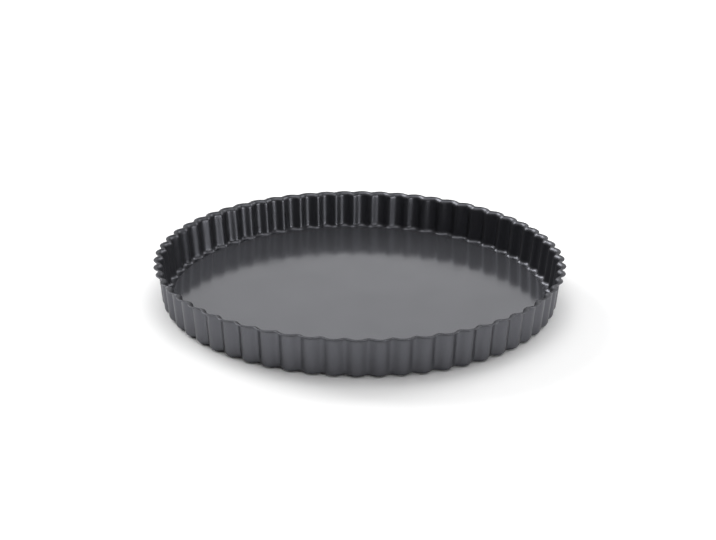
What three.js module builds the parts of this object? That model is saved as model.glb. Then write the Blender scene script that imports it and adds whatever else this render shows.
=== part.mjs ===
// A round fluted tart pan in two pieces: a fluted ring with an inward ledge, and a flat base disc that lies on it.
// Millimetres, +Z up. The origin is the centre of the pan on the surface that it stands on.
import * as THREE from "three";
import { mergeVertices } from "three/addons/utils/BufferGeometryUtils.js";

// Overall
const RIM_DIAMETER = 280; // over the lobes of the rim
const HEIGHT = 27.5; // standing surface to the top of the rim
const SHEET = 0.6; // steel gauge of both pieces

// Flutes
const FLUTES = 60;
const FLUTE_DEPTH = 2.8; // rib to lobe, across the middle of the wall's sheet
const FLUTE_FULLNESS = 0.1; // lobes are rounder than ribs
const STEPS_PER_FLUTE = 6;

// Rim: the top of the wall flared out into a narrow level lip whose edge follows the flutes
const LIP = 3.3; // from the wall's line at rim height out to the lip's edge
const LIP_BEND = 3.4; // over the sheet, from wall to lip
const LIP_EDGE = 0.15; // broken edge

// Wall: radius of the middle of the sheet, halfway between rib and lobe
const WALL_TOP_R = RIM_DIAMETER / 2 - FLUTE_DEPTH / 2 - LIP; // at the height of the rim
const WALL_FOOT_R = 132.9; // at the standing surface

// Foot
const FOOT_FILLET = 3.5; // inside radius between wall and ledge
const LEDGE_R = 118; // edge of the round opening under the base

// Base
const BASE_R = 128.7; // passes between the feet of the ribs
const BASE_SHEET = 0.6;
const BASE_GAP = 0.3; // clearance under the disc
const BASE_EDGE = 0.15; // broken edge
const BASE_SEGMENTS = 120;

const coating = (name, color, roughness) =>
  new THREE.MeshStandardMaterial({ name, color, roughness, metalness: 0.55 });
const ringCoating = coating("ring_coating", 0x47484b, 0.36);
const baseCoating = coating("base_coating", 0x4d4e51, 0.32);

// Radius of the middle of the wall's sheet at height z, halfway between rib and lobe.
const slope = (WALL_TOP_R - WALL_FOOT_R) / HEIGHT;
const wallR = (z) => WALL_FOOT_R + slope * z;
const half = (SHEET / 2) * Math.hypot(1, slope); // half the sheet, measured level
const draft = Math.atan(slope);

// Axis of the bend from wall to lip: its height, and how far it lies outside the wall's line at rim height.
const bendZ = HEIGHT - LIP_BEND;
const bendOut = LIP_BEND * Math.cos(draft) - half - slope * LIP_BEND * (1 - Math.sin(draft));

// How far the flutes press the sheet out (lobe) or in (rib) in direction angle.
function fluteAt(angle) {
  const x = FLUTES * angle;
  return (FLUTE_DEPTH / 2) * (Math.cos(x) + FLUTE_FULLNESS * (1 - Math.cos(2 * x)));
}

// Radius, in direction angle, of the line that runs beside the wall's fluted line at rim height, out from it by d.
// Outside, that is the farthest point within d of the fluted line, so it meets in a notch at each rib.
function beside(angle, d) {
  const r = WALL_TOP_R + fluteAt(angle);
  if (d <= 0) {
    const turn = (fluteAt(angle + 1e-5) - fluteAt(angle - 1e-5)) / 2e-5;
    return r + d * Math.hypot(1, turn / r);
  }
  let far = r + d;
  for (let k = -400; k <= 400; k++) {
    const off = (k / 400) * (d / WALL_TOP_R);
    const s = WALL_TOP_R + fluteAt(angle + off);
    const across = s * Math.sin(off);
    if (Math.abs(across) < d) far = Math.max(far, s * Math.cos(off) + Math.sqrt(d * d - across * across));
  }
  return far;
}

// A bend of radius r at the foot, as [radius, height] from the level ledge at height z up to the wall's face,
// whose radius at height z is faceR.
function footBend(faceR, z, r) {
  const turn = Math.PI / 2 - draft;
  const start = faceR - r * Math.tan(turn / 2);
  return [0, 0.5, 1].map((k) => [start + r * Math.sin(turn * k), z + r * (1 - Math.cos(turn * k))]);
}

// Section of the ring in one direction, once round the sheet.
function ringSection(angle) {
  const flute = fluteAt(angle);
  const fluted = ([r, z]) => [r + flute, z];
  const flared = (radius, share) => {
    const turn = Math.PI - draft - share * (Math.PI / 2 - draft);
    return [beside(angle, bendOut + radius * Math.cos(turn)), bendZ + radius * Math.sin(turn)];
  };
  return [
    // ledge and foot, underside
    [LEDGE_R, 0],
    ...footBend(wallR(0) + half, 0, FOOT_FILLET + SHEET).map(fluted),
    // outside of the wall, and the lip from below
    flared(LIP_BEND - SHEET, 0),
    flared(LIP_BEND - SHEET, 0.5),
    flared(LIP_BEND - SHEET, 1),
    // edge of the lip
    [beside(angle, LIP - LIP_EDGE), HEIGHT - SHEET],
    [beside(angle, LIP), HEIGHT - SHEET / 2],
    [beside(angle, LIP - LIP_EDGE), HEIGHT],
    // over the lip and into the pan
    flared(LIP_BEND, 1),
    flared(LIP_BEND, 2 / 3),
    flared(LIP_BEND, 1 / 3),
    flared(LIP_BEND, 0),
    // inside of the wall
    ...footBend(wallR(SHEET) - half, SHEET, FOOT_FILLET).reverse().map(fluted),
    // ledge, top
    [LEDGE_R, SHEET],
  ];
}

// Turns a closed section about the axis, with the flutes pressed into it. Lobes lie on the X and Y axes.
function flutedRing() {
  const columns = FLUTES * STEPS_PER_FLUTE;
  const plain = ringSection(0);
  const loop = [...plain, plain[0]];
  const turned = new THREE.LatheGeometry(
    loop.map(([r, z]) => new THREE.Vector2(r, z)),
    columns,
  );
  const at = turned.getAttribute("position");
  for (let column = 0; column <= columns; column++) {
    const angle = (2 * Math.PI * column) / columns;
    const section = ringSection(angle);
    for (let row = 0; row < loop.length; row++) {
      const [r, z] = section[row % section.length];
      at.setXYZ(column * loop.length + row, r * Math.sin(angle), z, r * Math.cos(angle));
    }
  }
  return standing(turned);
}

// A flat disc with broken edges.
function baseDisc() {
  const low = SHEET + BASE_GAP,
    high = low + BASE_SHEET;
  return standing(
    new THREE.LatheGeometry(
      [
        [0, low],
        [BASE_R - BASE_EDGE, low],
        [BASE_R, low + BASE_EDGE],
        [BASE_R, high - BASE_EDGE],
        [BASE_R - BASE_EDGE, high],
        [0, high],
      ].map(([r, z]) => new THREE.Vector2(r, z)),
      BASE_SEGMENTS,
    ),
  );
}

// Stands a turned shape up, from the Y axis to the Z axis, as one closed surface with shared vertices.
function standing(turned) {
  turned.deleteAttribute("normal");
  turned.deleteAttribute("uv");
  const shape = mergeVertices(turned.rotateX(Math.PI / 2), 1e-3);
  shape.computeVertexNormals();
  return shape;
}

function piece(name, geometry, material) {
  const mesh = new THREE.Mesh(geometry, material);
  mesh.name = name;
  return mesh;
}

const pan = new THREE.Group();
pan.name = "fluted_tart_pan";
pan.add(piece("fluted_ring", flutedRing(), ringCoating));
pan.add(piece("loose_base", baseDisc(), baseCoating));

export default pan;
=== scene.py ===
import math

import bpy
import numpy as np
from mathutils import Matrix, Vector


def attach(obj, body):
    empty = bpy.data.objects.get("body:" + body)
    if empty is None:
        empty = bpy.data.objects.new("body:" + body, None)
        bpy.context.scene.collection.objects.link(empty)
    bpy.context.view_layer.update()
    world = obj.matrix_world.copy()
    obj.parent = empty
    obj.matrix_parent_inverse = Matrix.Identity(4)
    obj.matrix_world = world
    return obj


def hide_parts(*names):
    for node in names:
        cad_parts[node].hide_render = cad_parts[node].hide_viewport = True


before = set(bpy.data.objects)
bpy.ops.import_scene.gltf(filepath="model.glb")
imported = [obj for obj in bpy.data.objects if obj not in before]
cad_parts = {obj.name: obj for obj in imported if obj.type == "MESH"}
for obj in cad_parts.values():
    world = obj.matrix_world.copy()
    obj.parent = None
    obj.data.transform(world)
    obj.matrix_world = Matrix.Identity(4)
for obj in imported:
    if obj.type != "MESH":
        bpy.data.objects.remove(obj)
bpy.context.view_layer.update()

MM = 0.001

# ---------------------------------------------------------------- sizes, in millimetres, as in the construction
RIM_DIAMETER = 280.0
HEIGHT = 27.5
SHEET = 0.6
FLUTES = 60
FLUTE_DEPTH = 2.8
FLUTE_FULLNESS = 0.1
LIP = 3.3
LIP_BEND = 3.4
WALL_FOOT_R = 132.9
FOOT_FILLET = 3.5
LEDGE_R = 118.0
BASE_R = 128.7
BASE_LOW = 0.9
BASE_SHEET = 0.6

COLUMNS_PER_FLUTE = 20
HALF = SHEET / 2
AMPLITUDE = FLUTE_DEPTH / 2
WALL_TOP_R = RIM_DIAMETER / 2 - AMPLITUDE - LIP
SLOPE = (WALL_TOP_R - WALL_FOOT_R) / HEIGHT
LEAN = math.atan(SLOPE)
BEND_Z = HEIGHT - LIP_BEND  # axis of the bend from wall to lip
BEND_OUT = LIP_BEND * math.cos(LEAN) - HALF / math.cos(LEAN) - SLOPE * LIP_BEND * (1 - math.sin(LEAN))


# ---------------------------------------------------------------- mesh helpers
def mesh_object(name, points, faces, wear=None):
    mesh = bpy.data.meshes.new(name)
    mesh.from_pydata((np.asarray(points) * MM).tolist(), [], faces)
    mesh.validate()
    mesh.update()
    if wear is not None:
        layer = mesh.attributes.new("wear", "FLOAT", "POINT")
        layer.data.foreach_set("value", np.asarray(wear, np.float32))
    mesh.polygons.foreach_set("use_smooth", np.ones(len(mesh.polygons), bool))
    mesh.set_sharp_from_angle(angle=math.radians(50))
    obj = bpy.data.objects.new(name, mesh)
    bpy.context.scene.collection.objects.link(obj)
    return obj


def unit(v):
    return v / np.linalg.norm(v, axis=-1, keepdims=True)


# ---------------------------------------------------------------- the fluted ring
def flute(t):
    x = FLUTES * t
    return AMPLITUDE * (np.cos(x) + FLUTE_FULLNESS * (1 - np.cos(2 * x)))


def flute_turn(t):
    x = FLUTES * t
    return AMPLITUDE * FLUTES * (-np.sin(x) + 2 * FLUTE_FULLNESS * np.sin(2 * x))


def wall_r(z):
    return WALL_FOOT_R + SLOPE * z


def beside(t, d):
    """Radius of the line beside the wall's fluted line at rim height, out from it by d, its notches softened."""
    r = WALL_TOP_R + flute(t)
    if d <= 0:
        return r + d * np.hypot(1, flute_turn(t) / r)
    off = np.linspace(-1, 1, 801) * d / WALL_TOP_R
    s = WALL_TOP_R + flute(t[:, None] + off)
    across = s * np.sin(off)
    far = s * np.cos(off) + np.sqrt(np.maximum(d * d - across * across, 0))
    edge = np.where(np.abs(across) < d, far, 0).max(1)
    return (np.roll(edge, 1) + 2 * edge + np.roll(edge, -1)) / 4 - 0.01


def fluted_ring():
    """One pressed sheet: ledge, foot bend, fluted wall, and the rim flared out into a level scalloped lip."""
    columns = FLUTES * COLUMNS_PER_FLUTE
    t = np.arange(columns) * 2 * math.pi / columns
    radial = np.stack([np.cos(t), np.sin(t), 0 * t], 1)
    up = np.array([0.0, 0.0, 1.0])
    wave = flute(t)
    stretch = np.hypot(1, flute_turn(t) / WALL_TOP_R)  # the sheet's level thickness is longer on a flute's flanks

    def at(r, z):
        return radial * np.broadcast_to(r, t.shape)[:, None] + up * np.broadcast_to(z, t.shape)[:, None]

    # The two faces of the sheet, as rows from the opening up to the rim: (place, wear).
    inner, outer = [], []
    bend = FOOT_FILLET + HALF
    turn = math.pi / 2 - LEAN
    bend_start = wall_r(HALF) + wave - bend * math.tan(turn / 2)
    for share in (0.0, 0.25, 0.5, 0.75, 0.93):
        r = (LEDGE_R + 0.1) * (1 - share) + bend_start * share
        inner.append((at(r, SHEET), 0.0))
        outer.append((at(r, 0.0), 0.0))
    bend_steps = 11
    for k in range(bend_steps + 1):
        a = turn * k / bend_steps
        r, z = bend_start + bend * math.sin(a), HALF + bend * (1 - math.cos(a))
        level = HALF * math.sin(a) * (1 + (stretch - 1) * k / bend_steps)
        inner.append((at(r - level, z + HALF * math.cos(a)), 0.2))
        outer.append((at(r + level, z - HALF * math.cos(a)), 0.1))
    low = HALF + bend * (1 - math.cos(turn))
    wall_steps = 5
    start = math.pi - LEAN
    for faces, sign, radius in ((inner, -1, LIP_BEND), (outer, 1, LIP_BEND - SHEET)):
        high = BEND_Z + radius * math.sin(start)
        for k in range(1, wall_steps):
            z = low + (high - low) * k / wall_steps
            faces.append((at(wall_r(z) + wave + sign * HALF / math.cos(LEAN) * stretch, z), 0.0))
        flare_steps = 12
        for k in range(flare_steps + 1):
            a = start + (math.pi / 2 - start) * k / flare_steps
            worn = 0.6 * (k / flare_steps) ** 2 if sign < 0 else 0.0
            faces.append((at(beside(t, BEND_OUT + radius * math.cos(a)), BEND_Z + radius * math.sin(a)), worn))
    # rounded edge of the lip, and the cut edge round the opening
    lip = []
    for k in range(9):
        a = -math.pi / 2 + math.pi * k / 8
        lip.append((at(beside(t, LIP - HALF * (1 - math.cos(a))), HEIGHT - HALF + HALF * math.sin(a)), 1.0))
    opening = [(at(LEDGE_R, SHEET - 0.1), 0.8), (at(LEDGE_R, 0.1), 0.8)]

    loop = outer + lip + list(reversed(inner)) + opening
    points = np.concatenate([place for place, _ in loop])
    count = len(loop)
    faces = []
    for j in range(count):
        a0, b0 = j * columns, ((j + 1) % count) * columns
        for i in range(columns):
            i2 = (i + 1) % columns
            faces.append((a0 + i, a0 + i2, b0 + i2, b0 + i))
    wear = np.repeat([w for _, w in loop], columns)
    return mesh_object("fluted_ring_sheet", points, faces, wear)


# ---------------------------------------------------------------- the loose base
def loose_base():
    """A flat disc cut from sheet, with a softly broken edge."""
    segments = 240
    t = np.arange(segments) * 2 * math.pi / segments
    radial = np.stack([np.cos(t), np.sin(t), 0 * t], 1)
    up = np.array([0.0, 0.0, 1.0])
    high = BASE_LOW + BASE_SHEET
    e = 0.14
    edge = [
        (BASE_R - e, high, 0.35),
        (BASE_R - e * 0.3, high - e * 0.3, 1.0),
        (BASE_R, high - e, 0.8),
        (BASE_R, BASE_LOW + e, 0.8),
        (BASE_R - e * 0.3, BASE_LOW + e * 0.3, 1.0),
        (BASE_R - e, BASE_LOW, 0.35),
    ]
    flat = [6, 14, 24, 34, 44, 54, 64, 74, 84, 92, 100, 107, 113, 118, 122, 125, 127.6]
    loop = [(r, high, 0.0) for r in flat] + edge + [(r, BASE_LOW, 0.0) for r in reversed(flat)]
    points = [np.array([[0.0, 0.0, high]])]
    wear = [0.0]
    for r, z, w in loop:
        points.append(radial * r + up * z)
        wear += [w] * segments
    points.append(np.array([[0.0, 0.0, BASE_LOW]]))
    wear.append(0.0)
    points = np.concatenate(points)
    last = len(points) - 1
    faces = []
    for i in range(segments):
        faces.append((0, 1 + i, 1 + (i + 1) % segments))
    for j in range(len(loop) - 1):
        a0, b0 = 1 + j * segments, 1 + (j + 1) * segments
        for i in range(segments):
            i2 = (i + 1) % segments
            faces.append((a0 + i, b0 + i, b0 + i2, a0 + i2))
    a0 = 1 + (len(loop) - 1) * segments
    for i in range(segments):
        faces.append((last, a0 + (i + 1) % segments, a0 + i))
    return mesh_object("loose_base_disc", points, faces, wear)


# ---------------------------------------------------------------- coating
def coating(name, colour, flake, metallic, rough, peel):
    """Dark satin non-stick coating: fine flake, a soft orange peel, uneven gloss, and edges rubbed a little lighter."""
    mat = bpy.data.materials.new(name)
    mat.use_nodes = True
    nodes, links = mat.node_tree.nodes, mat.node_tree.links
    nodes.clear()
    out = nodes.new("ShaderNodeOutputMaterial")
    shader = nodes.new("ShaderNodeBsdfPrincipled")
    links.new(shader.outputs["BSDF"], out.inputs["Surface"])
    shader.inputs["Metallic"].default_value = metallic
    shader.inputs["IOR"].default_value = 1.5

    where = nodes.new("ShaderNodeTexCoord")

    def noise(scale, detail, roughness=0.5):
        n = nodes.new("ShaderNodeTexNoise")
        n.inputs["Scale"].default_value = scale
        n.inputs["Detail"].default_value = detail
        n.inputs["Roughness"].default_value = roughness
        links.new(where.outputs["Object"], n.inputs["Vector"])
        return n.outputs["Fac"]

    def ranged(value, lo, hi, to_lo, to_hi):
        n = nodes.new("ShaderNodeMapRange")
        for socket, number in zip(("From Min", "From Max", "To Min", "To Max"), (lo, hi, to_lo, to_hi)):
            n.inputs[socket].default_value = number
        links.new(value, n.inputs["Value"])
        return n.outputs["Result"]

    def mixed(fac, a, b):
        n = nodes.new("ShaderNodeMix")
        n.data_type = "RGBA"
        links.new(fac, n.inputs["Factor"])
        for socket, value in (("A", a), ("B", b)):
            target = next(s for s in n.inputs if s.name == socket and s.type == "RGBA")
            if isinstance(value, tuple):
                target.default_value = (*value, 1)
            else:
                links.new(value, target)
        return next(s for s in n.outputs if s.type == "RGBA")

    def math_node(op, a, b):
        n = nodes.new("ShaderNodeMath")
        n.operation = op
        for k, value in enumerate((a, b)):
            if isinstance(value, (int, float)):
                n.inputs[k].default_value = value
            else:
                links.new(value, n.inputs[k])
        return n.outputs["Value"]

    specks = ranged(noise(3200, 1.0), 0.42, 0.72, 0.0, 1.0)
    body = mixed(specks, colour, flake)
    clouds = noise(16, 3.0, 0.6)
    tint = mixed(ranged(clouds, 0.3, 0.7, 0.0, 0.35), body, tuple(c * 0.86 for c in colour))
    wear = nodes.new("ShaderNodeAttribute")
    wear.attribute_type = "GEOMETRY"
    wear.attribute_name = "wear"
    patch = ranged(noise(220, 3.0, 0.6), 0.44, 0.66, 0.0, 1.0)
    rubbed = math_node("MULTIPLY", wear.outputs["Fac"], patch)
    links.new(
        mixed(math_node("MULTIPLY", rubbed, 0.3), tint, tuple(c * 1.8 for c in colour)), shader.inputs["Base Color"]
    )

    smudge = ranged(noise(34, 4.0, 0.55), 0.3, 0.7, -0.03, 0.03)
    grain = ranged(noise(1500, 2.0), 0.3, 0.7, -0.02, 0.02)
    gloss = math_node("ADD", math_node("ADD", smudge, grain), rough)
    links.new(math_node("SUBTRACT", gloss, math_node("MULTIPLY", rubbed, 0.05)), shader.inputs["Roughness"])

    bump = nodes.new("ShaderNodeBump")
    bump.inputs["Strength"].default_value = peel
    bump.inputs["Distance"].default_value = 0.00002
    links.new(noise(700, 2.0, 0.5), bump.inputs["Height"])
    links.new(bump.outputs["Normal"], shader.inputs["Normal"])
    return mat


ring = fluted_ring()
base = loose_base()
ring.data.materials.append(
    coating("ring_coating", (0.112, 0.1135, 0.1255), (0.134, 0.136, 0.15), 0.9, 0.38, 0.06)
)
base.data.materials.append(
    coating("base_coating", (0.126, 0.128, 0.141), (0.15, 0.152, 0.168), 0.61, 0.13, 0.05)
)
for piece, node, body, slot in (
    (ring, "fluted_ring", "ring", "ring_coating"),
    (base, "loose_base", "base", "base_coating"),
):
    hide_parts(node)
    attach(piece, body)


# ---------------------------------------------------------------- floor
def floor_material():
    mat = bpy.data.materials.new("pale_floor")
    mat.use_nodes = True
    shader = mat.node_tree.nodes["Principled BSDF"]
    shader.inputs["Base Color"].default_value = (0.95, 0.95, 0.95, 1)
    shader.inputs["Roughness"].default_value = 0.9
    shader.inputs["Specular IOR Level"].default_value = 0.0
    return mat


def floor():
    mesh = bpy.data.meshes.new("floor")
    s, z = 30.0, -0.0002
    mesh.from_pydata([(-s, -s, z), (s, -s, z), (s, s, z), (-s, s, z)], [], [(0, 1, 2, 3)])
    obj = bpy.data.objects.new("floor", mesh)
    bpy.context.scene.collection.objects.link(obj)
    mesh.materials.append(floor_material())


floor()

# ---------------------------------------------------------------- camera
AZIMUTH = math.radians(0.4917)
ELEVATION = math.radians(21.05)
DISTANCE = 0.898
FOCAL_PX = 1312.0
ROLL = math.radians(0.71)
CENTRE_PX = (1.69, 15.03)  # where the rim's centre falls, right of and above the middle of the picture
WIDTH_PX = 716
rim_centre = Vector((0, 0, HEIGHT * MM))

back = Vector(
    (math.sin(AZIMUTH) * math.cos(ELEVATION), -math.cos(AZIMUTH) * math.cos(ELEVATION), math.sin(ELEVATION))
)
right = Vector((math.cos(AZIMUTH), math.sin(AZIMUTH), 0))
upward = back.cross(right)
aim = (-back * FOCAL_PX - right * CENTRE_PX[0] - upward * CENTRE_PX[1]).normalized()
right = aim.cross(upward).normalized()
upward = right.cross(aim).normalized()
right, upward = (
    right * math.cos(ROLL) + upward * math.sin(ROLL),
    upward * math.cos(ROLL) - right * math.sin(ROLL),
)
lens = bpy.data.cameras.new("camera")
lens.sensor_width = 36
lens.lens = 36 * FOCAL_PX / WIDTH_PX
lens.clip_start = 0.05
lens.clip_end = 100
camera = bpy.data.objects.new("camera", lens)
bpy.context.scene.collection.objects.link(camera)
turn = Matrix((right, upward, -aim)).transposed()
camera.matrix_world = Matrix.Translation(rim_centre + back * DISTANCE) @ turn.to_4x4()
bpy.context.scene.camera = camera


# ---------------------------------------------------------------- light: a soft studio dome, dark on the near side
def studio():
    world = bpy.data.worlds.new("studio")
    bpy.context.scene.world = world
    world.use_nodes = True
    nodes, links = world.node_tree.nodes, world.node_tree.links
    nodes.clear()
    out = nodes.new("ShaderNodeOutputWorld")

    where = nodes.new("ShaderNodeTexCoord")
    axes = nodes.new("ShaderNodeSeparateXYZ")
    links.new(where.outputs["Generated"], axes.inputs["Vector"])
    x, y, z = (axes.outputs[k] for k in "XYZ")

    def op(kind, a, b=None, c=None):
        n = nodes.new("ShaderNodeMath")
        n.operation = kind
        for k, value in enumerate((a, b, c)):
            if value is None:
                continue
            if isinstance(value, (int, float)):
                n.inputs[k].default_value = value
            else:
                links.new(value, n.inputs[k])
        return n.outputs["Value"]

    def smooth(value, lo, hi):
        n = nodes.new("ShaderNodeMapRange")
        n.interpolation_type = "SMOOTHSTEP"
        n.inputs["From Min"].default_value = lo
        n.inputs["From Max"].default_value = hi
        links.new(value, n.inputs["Value"])
        return n.outputs["Result"]

    def lamp(bearing, height, full, edge, strength):
        """A round soft light: bearing in degrees from the far side, positive to the right, and degrees above level."""
        b, h = math.radians(bearing), math.radians(height)
        d = (math.sin(b) * math.cos(h), math.cos(b) * math.cos(h), math.sin(h))
        along = op("ADD", op("ADD", op("MULTIPLY", x, d[0]), op("MULTIPLY", y, d[1])), op("MULTIPLY", z, d[2]))
        return op("MULTIPLY", smooth(along, math.cos(math.radians(edge)), math.cos(math.radians(full))), strength)

    # white sweep behind the pan, paler to the sides, and a pale ceiling
    aside = op("ABSOLUTE", op("ARCTAN2", x, y))
    middle = op("SUBTRACT", 1.0, smooth(aside, math.radians(12), math.radians(28)))
    sweep = op("MULTIPLY", smooth(y, -0.25, 0.25), op("ADD", op("MULTIPLY", middle, 0.48), 0.35))
    sweep = op("MULTIPLY", sweep, op("SUBTRACT", smooth(z, 0.25, 0.31), smooth(z, 0.5, 0.66)))
    ceiling = lamp(180, 80, 24, 34, 1.28)
    # an upright light to the right of the near side
    bearing = op("ARCTAN2", x, op("MULTIPLY", y, -1.0))  # 0 towards the near side, positive to the right
    off = op("ABSOLUTE", op("SUBTRACT", bearing, math.radians(45)))
    side = op("SUBTRACT", 1.0, smooth(off, math.radians(8), math.radians(20)))
    side = op("MULTIPLY", side, op("SUBTRACT", 1.0, smooth(z, 0.2, 0.4)))
    side = op("MULTIPLY", side, 6.5)
    light = op("ADD", op("MAXIMUM", sweep, ceiling), op("ADD", side, 0.07))

    dome = nodes.new("ShaderNodeBackground")
    dome.inputs["Color"].default_value = (1, 1, 1, 1)
    links.new(light, dome.inputs["Strength"])
    links.new(dome.outputs["Background"], out.inputs["Surface"])


def soft_light(name, bearing, height, width, strength, gloss):
    """A round soft light, placed in degrees as above: one that the gloss mirrors, or a fill for all that is matt."""
    lamp = bpy.data.lights.new(name, "SUN")
    lamp.angle = math.radians(width)
    lamp.energy = strength
    obj = bpy.data.objects.new(name, lamp)
    b, h = math.radians(bearing), math.radians(height)
    towards = Vector((math.sin(b) * math.cos(h), math.cos(b) * math.cos(h), math.sin(h)))
    obj.rotation_euler = towards.to_track_quat("Z", "Y").to_euler()
    obj.visible_glossy = gloss
    obj.visible_diffuse = not gloss
    bpy.context.scene.collection.objects.link(obj)
    return obj


studio()
on_ring = bpy.data.collections.new("on_ring")  # glints for the ring alone, so that the base never glares
on_ring.objects.link(ring)
soft_light("key", -50, 43.6, 32, 1.55, True).light_linking.receiver_collection = on_ring
soft_light("second", 58, 38, 28, 0.5, True).light_linking.receiver_collection = on_ring
soft_light("fill_far_left", -47, 19, 36, 3.3, False)
soft_light("fill_far_right", 42, 22, 36, 1.35, False)
soft_light("fill_left", -95, 60, 46, 0.3, False)
soft_light("fill_far", 0, 60, 46, 0.85, False)
soft_light("fill_right", 95, 60, 46, 0.3, False)
bpy.context.scene.view_settings.view_transform = "Standard"
bpy.context.scene.view_settings.look = "None"
bpy.context.scene.view_settings.exposure = 0.0
